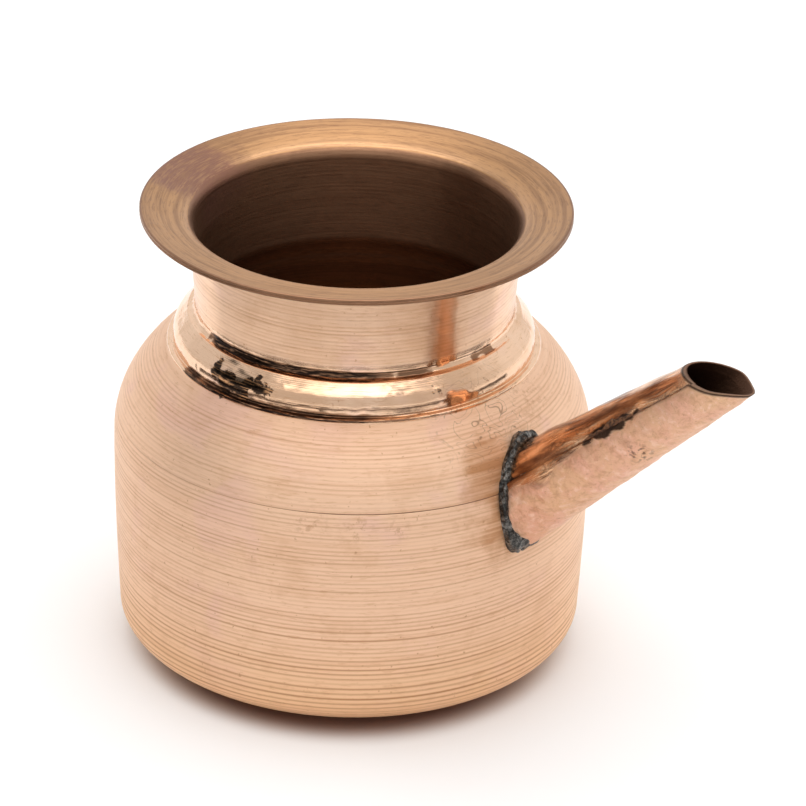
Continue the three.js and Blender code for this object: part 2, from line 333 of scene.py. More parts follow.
def on_spout(along, angle, radius):
    """The point that far along the spout's axis, and a radius off it at an angle from its top."""
    along, radius = np.asarray(along)[..., None], np.asarray(radius)[..., None]
    return FOOT + AXIS * along + radial(angle) * radius


def spout_radius(along):
    return SPOUT_R + (TIP_R - SPOUT_R) * along / SPOUT_LENGTH


def mouth_at(angle, stand):
    """Where the plane of the mouth cuts a surface that stands so far off the tube, along its axis."""
    normal = np.array([math.sin(MOUTH_DIP), 0, math.cos(MOUTH_DIP)])
    lean = radial(angle) @ normal
    slope = (TIP_R - SPOUT_R) / SPOUT_LENGTH
    return (SPOUT_LENGTH * (AXIS @ normal) - (SPOUT_R + stand) * lean) / (AXIS @ normal + slope * lean)


def belly_radius(z):
    """The outside radius of the wall or shoulder at that height."""
    wall = CORNER_R + (BELLY_R - CORNER_R) * np.sin((z - CORNER_H) / (SHOULDER_Z - CORNER_H) * math.pi / 2)
    above = shoulder_at(shoulder_turn(np.maximum(z, SHOULDER_Z)))[..., 0]
    return np.where(z > SHOULDER_Z, above, wall)


def leaves_belly(angle):
    """The distance along the spout's axis at which its surface comes out of the belly, by halving."""
    low, high = np.full(np.shape(angle), -BURIED), np.full(np.shape(angle), BURIED)
    for _ in range(30):
        middle = (low + high) / 2
        p = on_spout(middle, angle, spout_radius(middle))
        inside = np.hypot(p[..., 0], p[..., 1]) < belly_radius(p[..., 2])
        low, high = np.where(inside, middle, low), np.where(inside, high, middle)
    return high


# ---- Materials ----


class Tree:
    """A short way to write a node tree."""

    def __init__(self, tree):
        self.tree = tree
        tree.nodes.clear()

    def link(self, a, b):
        self.tree.links.new(a, b)

    def put(self, socket, value):
        if isinstance(value, bpy.types.NodeSocket):
            self.link(value, socket)
        elif value is not None:
            socket.default_value = value

    def node(self, kind, *inputs, **settings):
        n = self.tree.nodes.new(kind)
        for key, value in settings.items():
            setattr(n, key, value)
        for socket, value in zip(n.inputs, inputs):
            self.put(socket, value)
        return n

    def math(self, operation, *inputs):
        return self.node("ShaderNodeMath", *inputs, operation=operation).outputs[0]

    def ramp(self, value, low, high, out_low=0.0, out_high=1.0):
        inputs = (value, low, high, out_low, out_high)
        return self.node("ShaderNodeMapRange", *inputs, interpolation_type="SMOOTHSTEP").outputs[0]


class Nodes(Tree):
    """The node tree of a material with one principled shader."""

    def __init__(self, name):
        self.material = bpy.data.materials.new(name)
        self.material.use_nodes = True
        super().__init__(self.material.node_tree)
        self.shader = self.node("ShaderNodeBsdfPrincipled")
        self.node("ShaderNodeOutputMaterial", self.shader.outputs[0])
        self.place = self.node("ShaderNodeTexCoord").outputs["Object"]
        self.xyz = self.node("ShaderNodeSeparateXYZ", self.place)

    def attribute(self, name):
        return self.node("ShaderNodeAttribute", attribute_name=name).outputs["Fac"]

    def scaled(self, x, y, z, z_from=None):
        """The object's place with each axis scaled, its height replaced by z_from if that is given."""
        parts = [self.math("MULTIPLY", self.xyz.outputs[i], k) for i, k in enumerate((x, y))]
        parts.append(self.math("MULTIPLY", z_from or self.xyz.outputs[2], z))
        return self.node("ShaderNodeCombineXYZ", *parts).outputs[0]

    def noise(self, vector, scale, detail=3.0, rough=0.5, distortion=0.0):
        n = self.tree.nodes.new("ShaderNodeTexNoise")
        self.link(vector or self.place, n.inputs["Vector"])
        settings = {"Scale": scale, "Detail": detail, "Roughness": rough, "Distortion": distortion}
        for key, value in settings.items():
            n.inputs[key].default_value = value
        return n.outputs["Fac"]

    def mix(self, factor, a, b):
        n = self.node("ShaderNodeMix", data_type="RGBA")
        self.put(n.inputs["Factor"], factor)
        self.put(n.inputs["A"], a)
        self.put(n.inputs["B"], b)
        return n.outputs["Result"]

    def near(self, place, inner, outer, warp=None, among=None):
        """1 within inner metres of a place, falling to 0 at outer, with its edge warped by warp.

        The places compared are the object's own, or those given by among.
        """
        here = among or self.place
        offset = self.node("ShaderNodeVectorMath", here, tuple(place), operation="SUBTRACT").outputs[0]
        distance = self.node("ShaderNodeVectorMath", offset, operation="LENGTH").outputs["Value"]
        if warp is not None:
            distance = self.math("ADD", distance, warp)
        return self.ramp(distance, inner, outer, 1.0, 0.0)

    def bump(self, height, distance, strength, normal=None):
        n = self.tree.nodes.new("ShaderNodeBump")
        n.inputs["Strength"].default_value = strength
        n.inputs["Distance"].default_value = distance
        self.link(height, n.inputs["Height"])
        if normal is not None:
            self.link(normal, n.inputs["Normal"])
        return n.outputs[0]

    def finish(self, color, roughness, metallic=1.0, normal=None, **values):
        self.put(self.shader.inputs["Base Color"], color)
        self.put(self.shader.inputs["Roughness"], roughness)
        self.put(self.shader.inputs["Metallic"], metallic)
        self.put(self.shader.inputs["Normal"], normal)
        for key, value in values.items():
            self.shader.inputs[key.replace("_", " ")].default_value = value
        return self.material


def turned_tangent(m):
    """Streaks a turned surface's gloss across its rings."""
    tangent = m.node("ShaderNodeTangent", direction_type="RADIAL", axis="Z")
    m.link(tangent.outputs[0], m.shader.inputs["Tangent"])


PALE = (0.93, 0.63, 0.435, 1)
ROSE = (0.91, 0.60, 0.47, 1)
GOLD = (0.90, 0.57, 0.31, 1)
TAN = (0.68, 0.39, 0.21, 1)
AGED = (0.55, 0.30, 0.14, 1)
LINE = (0.50, 0.235, 0.105, 1)
BROWN = (0.33, 0.175, 0.10, 1)
DIRT = (0.20, 0.10, 0.055, 1)
# Near black: soot and painted shadow on the spout's edges, and painted dark reflections on the collar and
# under the neck.
SOOT_AND_PAINTED_DARK = (0.022, 0.013, 0.010, 1)
ORANGE = (0.60, 0.31, 0.15, 1)
PLUM = (0.30, 0.145, 0.10, 1)

PINK = (0.80, 0.46, 0.33, 1)
WARM_PINK = (0.78, 0.49, 0.30, 1)
PALE_PINK = (0.92, 0.64, 0.50, 1)
RUST = (0.52, 0.27, 0.15, 1)
PIT = (0.40, 0.20, 0.12, 1)
BRIGHT = (0.72, 0.40, 0.22, 1)
# Colour of the painted highlight streaks on the spout.
PAINTED_HIGHLIGHT = (0.92, 0.58, 0.36, 1)
UMBER = (0.30, 0.155, 0.09, 1)
DARK_UMBER = (0.16, 0.08, 0.05, 1)
BORE = (0.13, 0.065, 0.04, 1)
DARK_STREAK = (0.12, 0.06, 0.04, 1)

SOLDER = (0.030, 0.028, 0.026, 1)
SOLDER_GREY = (0.25, 0.235, 0.215, 1)
SOLDER_GLINT = (0.50, 0.47, 0.43, 1)
SOLDER_HOLE = (0.008, 0.007, 0.006, 1)
OXIDE = (0.035, 0.022, 0.018, 1)
OXIDE_BROWN = (0.30, 0.15, 0.08, 1)
BRAZE = (0.70, 0.44, 0.28, 1)
BRAZE_PALE = (0.88, 0.60, 0.41, 1)
BRAZE_BROWN = (0.30, 0.16, 0.09, 1)

PAPER = (0.88, 0.88, 0.88, 1)
PAPER_LIGHT = (0.90, 0.90, 0.90, 1)
# Colour of the painted contact shadow on the floor.
PAINTED_SHADOW_BROWN = (0.28, 0.155, 0.115, 1)
CARD = (0.05, 0.035, 0.03, 1)


def clean_copper(m, streak, scratch, shine):
    """Freshly turned metal: pale, clouded with rose and tan, gold low down, and finely scratched."""
    cloudy = m.noise(None, 95.0, 4.0, 0.6, 0.6)
    patches = m.noise(None, 62.0, 2.0, 0.5, 0.3)
    base = m.mix(m.ramp(patches, 0.54, 0.70, 0.0, 0.75), PALE, ROSE)
    base = m.mix(m.ramp(m.xyz.outputs[2], 0.030, 0.0, 0.0, 0.75), base, GOLD)
    base = m.mix(m.ramp(cloudy, 0.52, 0.72, 0.0, 0.26), base, TAN)
    base = m.mix(m.ramp(streak, 0.45, 0.75, 0.0, 0.22), base, TAN)
    base = m.mix(m.ramp(scratch, 0.54, 0.68, 0.0, 0.42), base, TAN)
    bands = m.noise(m.scaled(75, 75, 4), 1.0, 2.0, 0.5)
    base = m.mix(m.math("MULTIPLY", m.ramp(bands, 0.46, 0.66, 0.0, 0.45), shine), base, TAN)
    specks = m.ramp(m.noise(None, 900.0, 2.0, 0.6), 0.68, 0.76, 0.0, 0.55)
    return m.mix(specks, base, LINE)


def heat_marks(m, base, streak):
    """The torch's orange tint and wavering lines, and the water marks."""
    tint = m.math("MULTIPLY", foot_tint(m), m.ramp(streak, 0.35, 0.6, 0.5, 1.0))
    base = m.mix(tint, base, ORANGE)
    base = m.mix(m.math("MULTIPLY", stains(m), 0.42), base, LINE)
    return m.mix(m.math("MULTIPLY", ripples(m), 0.6), base, DIRT)


def aged(m, base, streak, scratch, patina):
    """The brown of old metal inside and on the rim, with the dull stain on the flare."""
    old = m.mix(m.ramp(patina, 0.5, 1.0), AGED, BROWN)
    old = m.mix(m.ramp(streak, 0.42, 0.66, 0.0, 0.45), old, DIRT)
    old = m.mix(m.ramp(scratch, 0.5, 0.66, 0.0, 0.40), old, DIRT)
    base = m.mix(m.ramp(patina, 0.0, 0.5), base, old)
    dulled = m.math("MULTIPLY", rim_stain(m), m.ramp(scratch, 0.35, 0.60, 0.45, 0.95))
    dulled = m.math("MULTIPLY", dulled, m.ramp(patina, 0.0, 0.3))
    return m.mix(dulled, base, PLUM)


def paint_dark_reflections(m, base, scratch, shine, painted_reflection):
    """Painted reflections: the spout's streak up the neck, the dark bands at the foot of the collar and in
    the crease under the neck, and the dark blots on the collar.
    """
    base = m.mix(m.math("MULTIPLY", painted_spout_reflection(m), shine), base, LINE)
    # Painted dark reflection of the dark room in front, laid on the polished collar and cove.
    darkest_reflection = m.mix(m.ramp(scratch, 0.46, 0.66), SOOT_AND_PAINTED_DARK, BROWN)
    darkening = m.mix(m.ramp(painted_reflection, 0.5, 0.8), BROWN, darkest_reflection)
    crisp = m.ramp(m.math("ADD", painted_reflection, m.math("MULTIPLY", scratch, 0.5)), 0.66, 0.80)
    base = m.mix(crisp, base, darkening)
    return m.mix(painted_collar_blots(m), base, m.mix(m.ramp(scratch, 0.50, 0.62), SOOT_AND_PAINTED_DARK, ORANGE))


def turned_copper(name):
    """Lathe-turned copper, from matt to polished.

    The mesh says how far along its outline each place lies (arc), how deep in a turning mark
    (groove), how brown (patina) and how polished (shine) it is, and how much painted dark reflection it
    carries.
    """
    m = Nodes(name)
    names = ("arc", "groove", "patina", "shine", "painted_reflection")
    arc, groove, patina, shine, painted_reflection = (m.attribute(each) for each in names)
    streak = m.noise(m.scaled(30, 30, 900, arc), 1.0, 3.0, 0.6)
    fine = m.noise(m.scaled(60, 60, 4200, arc), 1.0, 2.0, 0.5)
    scratch = m.noise(m.scaled(300, 300, 2600, arc), 1.0, 3.0, 0.65)
    base = heat_marks(m, clean_copper(m, streak, scratch, shine), streak)
    base = aged(m, m.mix(groove, base, LINE), streak, scratch, patina)
    # Painted dark reflections and the spout's painted reflection on the collar, the cove and the neck.
    base = paint_dark_reflections(m, base, scratch, shine, painted_reflection)
    dull = m.ramp(shine, 0.0, 1.0, 0.52, 0.09)
    roughness = m.math("ADD", dull, m.ramp(streak, 0.3, 0.8, 0.0, 0.10))
    metal = m.ramp(shine, 0.0, 0.6, 0.75, 1.0)
    turned_tangent(m)
    normal = m.bump(fine, 0.00006, 0.35)
    waves = m.math("MULTIPLY", m.noise(None, 160.0, 2.0, 0.5, 0.3), m.ramp(shine, 0.3, 1.0, 0.25, 1.0))
    normal = m.bump(waves, 0.0012, 0.35, normal)
    return m.finish(base, roughness, metal, normal, Anisotropic=0.7, Anisotropic_Rotation=0.25)


def ragged_edge(m, scale, detail, amount):
    """A noise either side of 0, in metres, that makes the edge of a stain ragged."""
    noise = m.math("SUBTRACT", m.noise(None, scale, detail, 0.6), 0.5)
    return m.math("MULTIPLY", noise, amount)


def painted_spout_reflection(m):
    """Painted reflection of the spout: a brown streak up the neck on the spout's side, with a painted cloud
    of shade beside it.
    """
    flat = m.scaled(1, 1, 0)
    place = around_front(34.5, 34.4, 0)
    streak = m.near(place, 0.0016, 0.0026, among=flat)
    middle = m.near(place, 0.0, 0.0018, among=flat)
    cloud = m.math("MULTIPLY", m.near(around_front(21, 34.6, 90), 0.002, 0.0095), m.noise(None, 240.0, 3.0))
    both = m.math("MULTIPLY", m.math("SUBTRACT", streak, m.math("MULTIPLY", middle, 0.35)), 0.75)
    above = m.ramp(m.xyz.outputs[2], 0.0775, 0.0795)
    return m.math("MULTIPLY", m.math("MAXIMUM", both, m.math("MULTIPLY", cloud, 0.7)), above)


def painted_collar_blots(m):
    """Painted reflections of dark things, as blots on the collar: most to the left of the front, a small one
    to the right.
    """
    ragged = ragged_edge(m, 260.0, 4.0, 0.010)
    spread = m.near(around_front(-48, 38.1, 73.9), 0.0022, 0.0028, ragged)
    blots = ((-43, 72.4, 0.0028), (-37, 72.4, 0.0022), (-30, 73.0, 0.0014), (29, 74.4, 0.0006))
    for azimuth, z, reach in blots:
        blot = m.near(around_front(azimuth, 38.2, z), reach, reach + 0.0006, ragged)
        spread = m.math("MAXIMUM", spread, blot)
    return m.math("MULTIPLY", spread, 0.97)


def rim_stain(m):
    """A dull plum stain on the flare, on the side away from the spout."""
    place = (-0.0385, -0.0075, 0.0995)
    return m.near(place, 0.007, 0.016, ragged_edge(m, 160.0, 3.0, 0.012))


def ripples(m):
    """Thin wavering lines that the torch drew in the tarnish above the spout's foot."""
    waves = m.math("PINGPONG", m.math("MULTIPLY", m.noise(None, 130.0, 2.0, 0.5, 1.2), 9.0), 0.5)
    return m.math("MULTIPLY", m.ramp(waves, 0.06, 0.0), m.near(around_front(42, 42, 66), 0.006, 0.017))


def around_front(azimuth, radius, z):
    """A place on the pot, in metres: azimuth 0 is its front, and 90 the right of that."""
    a = CAMERA_AZIMUTH + math.radians(azimuth)
    return (math.sin(a) * radius * MM, -math.cos(a) * radius * MM, z * MM)


def stains(m):
    """Water marks: some small ones under the belly seam at the front, one over the spout's foot."""
    patches = m.ramp(m.noise(None, 620.0, 5.0, 0.7), 0.50, 0.62)
    spread = m.near(around_front(-9, BELLY_R, 51.2), 0.0005, 0.0055)
    spread = m.math("MAXIMUM", spread, m.near(around_front(2, BELLY_R, 50.6), 0.0005, 0.0050))
    spread = m.math("MAXIMUM", spread, m.near(around_front(12, BELLY_R, 50.2), 0.0, 0.0040))
    spread = m.math("MAXIMUM", spread, m.near(around_front(61, 42, 66.5), 0.001, 0.008))
    return m.math("MULTIPLY", patches, spread)


def foot_tint(m):
    """The heat tint left round the spout's foot by the torch."""
    ragged = ragged_edge(m, 130.0, 4.0, 0.02)
    left = m.near(around_front(38, 48.3, 58.0), 0.004, 0.011, ragged)
    under = m.near(on_spout(-2.0, math.radians(95), 8.0) * MM, 0.004, 0.013, ragged)
    return m.math("MAXIMUM", left, under)


def along_spout(m, along, across):
    """The object's place in the spout's own axes, scaled along it and across it."""
    parts = []
    for way in (AXIS * along, TOP * across, SIDE * across):
        dot = m.node("ShaderNodeVectorMath", m.place, tuple(way), operation="DOT_PRODUCT")
        parts.append(dot.outputs["Value"])
    return m.node("ShaderNodeCombineXYZ", *parts).outputs[0]


def matt_copper(m, pits, mottle):
    """The underside of the spout: pink, mottled and pitted."""
    cloudy = m.noise(None, 120.0, 4.0, 0.6, 0.6)
    pink = m.mix(m.ramp(cloudy, 0.3, 0.7), PINK, WARM_PINK)
    pink = m.mix(m.ramp(mottle, 0.48, 0.66, 0.0, 0.45), pink, RUST)
    pink = m.mix(m.ramp(mottle, 0.46, 0.34, 0.0, 0.5), pink, PALE_PINK)
    return m.mix(m.ramp(pits, 0.56, 0.70, 0.0, 0.4), pink, PIT)


def glossy_copper(m, drawn, mottle):
    """The top of the spout: bright, with brown streaks drawn along it and painted highlight streaks between
    them.
    """
    glossy = m.mix(m.ramp(drawn, 0.40, 0.58), BRIGHT, UMBER)
    glossy = m.mix(m.ramp(drawn, 0.56, 0.70, 0.0, 0.8), glossy, DARK_STREAK)
    # Painted highlight streaks along the spout's top.
    glossy = m.mix(m.ramp(drawn, 0.40, 0.30), glossy, PAINTED_HIGHLIGHT)
    return m.mix(m.ramp(mottle, 0.54, 0.66, 0.0, 0.5), glossy, DARK_UMBER)


def rolled_copper():
    """The spout: glossy streaked copper on its top, matt pitted pink below, dark inside."""
    m = Nodes("rolled_copper")
    bright, inside, edge = (m.attribute(each) for each in ("bright", "inside", "edge"))
    pits = m.noise(None, 1300.0, 4.0, 0.7, 0.8)
    mottle = m.noise(None, 480.0, 4.0, 0.65, 0.4)
    drawn = m.noise(along_spout(m, 90, 520), 1.0, 3.0, 0.55, 0.4)
    base = m.mix(bright, matt_copper(m, pits, mottle), glossy_copper(m, drawn, mottle))
    blemish = m.near(on_spout(36.0, math.radians(128), 7.5) * MM, 0.0008, 0.0042)
    blemish = m.math("MULTIPLY", blemish, m.ramp(m.noise(None, 1100.0, 3.0), 0.52, 0.60, 0.0, 0.8))
    base = m.mix(blemish, base, DARK_STREAK)
    # The edge marks include painted shadow under the lap's step.
    base = m.mix(edge, base, SOOT_AND_PAINTED_DARK)
    base = m.mix(inside, base, BORE)
    dull = m.ramp(bright, 0.0, 1.0, 0.42, 0.18)
    roughness = m.math("ADD", dull, m.math("MULTIPLY", inside, 0.2))
    height = m.math("MULTIPLY", pits, m.ramp(bright, 0.0, 1.0, 1.0, 0.12))
    normal = m.bump(height, 0.0003, 0.7)
    crinkle = m.math("MULTIPLY", drawn, m.ramp(bright, 0.0, 1.0, 0.2, 1.0))
    normal = m.bump(crinkle, 0.0010, 0.40, normal)
    return m.finish(base, roughness, normal=normal)


def solder_metal():
    """Dark lumpy solder with bubbles and a few bright grains."""
    m = Nodes("dark_solder")
    lumps = m.noise(None, 420.0, 4.0, 0.6, 0.5)
    grit = m.noise(None, 2600.0, 3.0, 0.6)
    voronoi = m.node("ShaderNodeTexVoronoi", feature="F1")
    m.link(m.place, voronoi.inputs["Vector"])
    voronoi.inputs["Scale"].default_value = 1100.0
    bubbles = voronoi.outputs["Distance"]
    base = m.mix(m.ramp(lumps, 0.35, 0.7), SOLDER, SOLDER_GREY)
    base = m.mix(m.ramp(grit, 0.60, 0.72, 0.0, 0.6), base, SOLDER_GLINT)
    base = m.mix(m.ramp(bubbles, 0.50, 0.70, 0.0, 0.8), base, SOLDER_HOLE)
    roughness = m.ramp(grit, 0.3, 0.7, 0.22, 0.5)
    hollow = m.bump(m.ramp(bubbles, 0.15, 0.42), 0.0003, 0.7)
    return m.finish(base, roughness, 0.75, m.bump(grit, 0.0002, 0.5, hollow))


def oxide():
    """The black and brown crust along the lap."""
    m = Nodes("seam_oxide")
    grit = m.noise(None, 1400.0, 4.0, 0.65)
    base = m.mix(m.ramp(grit, 0.4, 0.65), OXIDE, OXIDE_BROWN)
    return m.finish(base, m.ramp(grit, 0.3, 0.7, 0.35, 0.65), 0.7, m.bump(grit, 0.00025, 0.7))


def braze_metal():
    """The belly seam: streaked, and brown at the front on the spout's side."""
    m = Nodes("braze")
    streak = m.noise(m.scaled(120, 120, 1500), 1.0, 3.0, 0.6)
    base = m.mix(m.ramp(streak, 0.35, 0.7), BRAZE, BRAZE_PALE)
    base = m.mix(m.near(around_front(18, BELLY_R, SEAM_Z), 0.014, 0.040), base, BRAZE_BROWN)
    return m.finish(base, m.ramp(streak, 0.3, 0.7, 0.3, 0.5), normal=m.bump(streak, 0.0001, 0.4))


# ---- Uneven surfaces ----


def noise_field(count, seed):
    """A smooth field of three coordinates, made of random waves."""
    rng = np.random.default_rng(seed)
    waves = rng.normal(size=(count, 3))
    phases = rng.uniform(0, 2 * math.pi, count)

    def field(p, size):
        return np.sin(p @ waves.T / size * 2.2 + phases).sum(-1) / math.sqrt(count / 2)

    return field


PITTING = noise_field(48, 11)
DENTS = noise_field(24, 12)
LUMPS = noise_field(40, 21)


# ---- Body ----


class Rings:
    """Turning marks: narrow grooves along the outline, each of its own depth, uneven round the pot."""

    def __init__(self, outline, pitch, depth):
        self.arc = lengths_of(outline)
        self.turns = np.cumsum(np.gradient(self.arc) / pitch)
        self.depth = depth
        count = int(self.turns[-1]) + 2
        self.own = RNG.uniform(0.2, 1.0, count)
        self.swing = RNG.uniform(0.0, 0.35, count)
        self.phase = RNG.uniform(0, 2 * math.pi, count)

    def cut(self, k, angle):
        """How deep the mark is at point k of the outline, as a share of the depth there."""
        turn = self.turns[k]
        i = int(turn)
        profile = math.exp(-(((turn - i - 0.5) / 0.17) ** 2))
        return profile * self.own[i] * (1 + self.swing[i] * np.cos(2 * angle + self.phase[i]))

    def push(self, k, angle):
        return self.depth[k] * self.cut(k, angle)


def front_window(obj, angle):
    """How much painted dark reflection the collar and the crease over it carry round the pot: at the front,
    with ragged ends.
    """
    across = np.degrees(angle - CAMERA_AZIMUTH + math.pi / 2)
    across = (across + 180) % 360 - 180 + 4 * LUMPS(coordinates(obj), 3.0)
    main = smooth(across, -66, -52) * (1 - 0.35 * smooth(across, -5, 15)) * (1 - smooth(across, 20, 40))
    beside = 0.6 * smooth(across, 44, 52) * (1 - smooth(across, 54, 66))
    return np.maximum(main, beside)


def finish_shell(obj, outline, rings, patina, shine, painted_reflection):
    """Bores the shell for the spout and writes the attributes that its material reads."""
    bore_through(obj)
    place = nearest_on(outline, obj)
    co = coordinates(obj)
    angle = np.arctan2(co[:, 1], co[:, 0])
    marks = np.array([rings.cut(k, a) for k, a in zip(place, angle)])
    darkest_depth = 0.035
    set_attribute(obj, "arc", rings.arc[place] * MM)
    set_attribute(obj, "groove", marks * np.clip(rings.depth[place] / darkest_depth, 0, 1))
    set_attribute(obj, "painted_reflection", painted_reflection[place] * front_window(obj, angle))
    set_attribute(obj, "patina", patina[place])
    set_attribute(obj, "shine", shine[place])
    obj.data.polygons.foreach_set("use_smooth", [True] * len(obj.data.polygons))


def lower_bowl():
    wall = corner_and_wall(OUTLINE_STEP)
    seam = shoulder_between(SHOULDER_Z, SEAM_Z - SEAM_HALF, OUTLINE_STEP)
    outside = np.concatenate([wall, seam])
    inner = (outside - normals_of(outside) * SHEET)[::-6]
    base = np.stack([np.linspace(0, BASE_R, 40), np.zeros(40)], 1)
    floor_line = np.stack([np.linspace(BASE_R, 0, 30)[1:], np.full(29, SHEET)], 1)
    outline = np.concatenate([base, outside, inner, floor_line])
    inside = np.arange(len(outline)) >= len(base) + len(outside)
    z = outline[:, 1]
    pitch = np.interp(z, [0, 12, 20, SEAM_Z], [1.25, 1.25, 1.0, 0.92])
    depth = np.interp(z, [0, 2, 14, 30, SEAM_Z], [0.02, 0.06, 0.045, 0.022, 0.018])
    depth[inside] = 0.008
    rings = Rings(outline, pitch, depth)
    obj = revolve("bowl_turned", outline, rings.push, SIDES)
    fix_normals(obj)
    plain = np.zeros(len(outline))
    finish_shell(obj, outline, rings, patina=inside * 1.0, shine=plain, painted_reflection=plain)
    return obj


def rim_edge():
    """The folded edge from below: the fold's underside and nose, the crease, and the sheet's nose."""
    fold = flare(OUTLINE_STEP)[1]
    fold = fold[round(HEM_START * len(fold)) : -2] - (0, RIM_T - SHEET)
    low, high, crease = HEIGHT - RIM_T, HEIGHT, HEIGHT - HEM_CREASE
    nose = [
        (0.2, low),
        (0.05, low + 0.1),
        (0, low + 0.25),
        (0.01, crease - 0.16),
        (0.1, crease - 0.07),
        (0.2, crease),
        (0.08, crease + 0.07),
        (0.0, crease + 0.2),
        (0.0, high - 0.25),
        (0.08, high - 0.1),
    ]
    return np.concatenate([fold, [(RIM_R - back, z) for back, z in nose]])


def shell_outline():
    """The upper shell from the seam up its outside and back down, and which points are inside."""
    low = SEAM_Z + SEAM_HALF
    start = shoulder_at(shoulder_turn(low))[None]
    shoulder = shoulder_between(low, LEDGE_Z, OUTLINE_STEP)
    bend, bell = flare(OUTLINE_STEP)
    above = np.concatenate([collar(OUTLINE_STEP), cove_and_neck(OUTLINE_STEP), bend])
    plain = np.concatenate([start, shoulder, above[4:], bell])
    inner = (plain - normals_of(plain) * SHEET)[::-1]
    inner = inner[inner[:, 0] < RIM_R - 0.25]
    kept = bell[: round(HEM_START * len(bell))]
    outer = np.concatenate([start, shoulder, ledge(), above, kept, rim_edge()])
    outline = np.concatenate([outer, inner])
    return outline, np.arange(len(outline)) >= len(outer)


def shell_rings(outline, inside):
    z = outline[:, 1]
    pitch = np.interp(z, [SEAM_Z, LEDGE_Z, NECK_Z, HEIGHT], [0.92, 0.92, 0.85, 0.9])
    marks = [SEAM_Z, LEDGE_Z - 2, LEDGE_Z, NECK_Z - 1, NECK_Z + 1, BEND_Z - 1, BEND_Z]
    depth = np.interp(z, marks, [0.018, 0.016, 0, 0, 0.018, 0.014, 0.010])
    depth[inside] = 0.014
    return Rings(outline, pitch, depth)


def shell_tones(outline, inside):
    """How brown and how polished the shell is at each point of its outline, and how much painted dark
    reflection it carries.
    """
    z = outline[:, 1]
    # Inside, the patina thins to a lighter band just past the bend: partly worn patina, partly painted
    # highlight brightening the overhead light's reflection there.
    brown = np.interp(z, [BEND_Z + 1.7, BEND_Z + 2.35, BEND_Z + 2.6, HEIGHT], [1.0, 0.95, 0.34, 0.66])
    patina = np.where(inside, brown, 0.0)
    patina[(outline[:, 0] > RIM_R - 0.5) & (z > BEND_Z)] = 1.2
    shine = np.interp(z, [LEDGE_Z - 0.2, LEDGE_Z + 0.2, NECK_Z, NECK_Z + 1.5, BEND_Z], [0, 1, 1, 0.55, 0.5])
    shine[inside] = 0.45
    # Painted dark reflection: crevice darkens the crease under the neck, foot the foot of the collar.
    crease = NECK_Z - COVE_R
    crevice = np.interp(z, [crease - 0.1, crease + 0.1, NECK_Z - 0.1, NECK_Z + 0.9], [0, 1.0, 0.9, 0])
    foot = np.interp(z, [LEDGE_Z, LEDGE_Z + 0.3, COLLAR_Z + 1.0, COLLAR_Z + 1.9], [0, 0.85, 0.50, 0])
    return patina, shine, np.where(inside, 0, crevice + foot)


def upper_shell():
    outline, inside = shell_outline()
    rings = shell_rings(outline, inside)
    obj = revolve("shell_turned", outline, rings.push, SIDES)
    fix_normals(obj)
    finish_shell(obj, outline, rings, *shell_tones(outline, inside))
    return obj


def seam_ring():
    """The brazing that shows as a fine line at the belly, with its low bead inside."""
    r = shoulder_at(shoulder_turn(SEAM_Z))[0]
    inside = r - SHEET
    low, high = SEAM_Z - SEAM_HALF * 0.97, SEAM_Z + SEAM_HALF * 0.97
    face = [(inside, low), (r - 0.03, low), (r - 0.02, SEAM_Z), (r - 0.03, high), (inside, high)]
    turns = np.linspace(0.15, math.pi - 0.15, 12)
    bead = [(inside - 0.5 * math.sin(t), SEAM_Z + 1.5 * math.cos(t)) for t in turns]
    obj = revolve("seam_turned", np.array(face + bead), lambda k, a: 0.01 * np.sin(9 * a + k), SIDES)
    fix_normals(obj)
    bore_through(obj)
    return obj


# ---- Spout ----


def lap_height(angle):
    """How far the sheet stands out over its own end, falling away behind the lap."""
    behind = (angle - LAP_ANGLE) / LAP_FADE
    return np.where((behind >= 0) & (behind < 1), SHEET * (1 - np.clip(behind, 0, 1)), 0.0)


def wall_at(along, end):
    """Thickness of the spout's wall, filed thinner at the mouth."""
    return np.interp(end - along, [0.0, 3.0], [MOUTH_WALL, SHEET])


def spout_bore(angles, start, t):
    """The inside of the tube, with its wall thicker at the mouth where the sheet is doubled."""
    end = mouth_at(angles, -MOUTH_WALL)
    along = start + (end - start) * t
    turn = np.broadcast_to(angles, along.shape)
    doubled = 0.9 * np.exp(-(((angles - math.radians(400)) / math.radians(26)) ** 2)) * smooth(t, 0.85, 1.0)
    return pinch(on_spout(along, turn, spout_radius(along) - wall_at(along, end) - doubled), turn, t)


def spout_marks(p, along, turn, t):
    """How dark the tube's outside is, at the edges of the lap, round the mouth and at the burn."""
    radius = spout_radius(along)
    # The dark lines at the lap's step are partly oxide and partly painted shadow under the step.
    step = np.exp(-(((turn - LAP_ANGLE - 2 * math.pi) * radius / 0.6) ** 2))
    step = np.maximum(step, np.exp(-(((turn - LAP_ANGLE) * radius / 0.25) ** 2)))
    line = smooth(t, 0.984, 0.996) * 0.95 * np.ones(turn.shape[1])
    arc = (turn - LAP_ANGLE - 2 * math.pi * (turn > math.pi * 1.5)) * radius
    burn_length, burn_width = 7.5, 1.5
    off_middle = arc + 0.1 - (BURN_ALONG - along) * 0.03
    spread = ((along - BURN_ALONG) / burn_length) ** 2 + (off_middle / burn_width) ** 2
    darkening = 0.95 * smooth(1 - spread + 0.4 * LUMPS(p, 1.7) + 0.2 * PITTING(p, 1.2), 0.0, 0.3)
    return np.maximum(np.maximum(line, 0.6 * step), darkening)


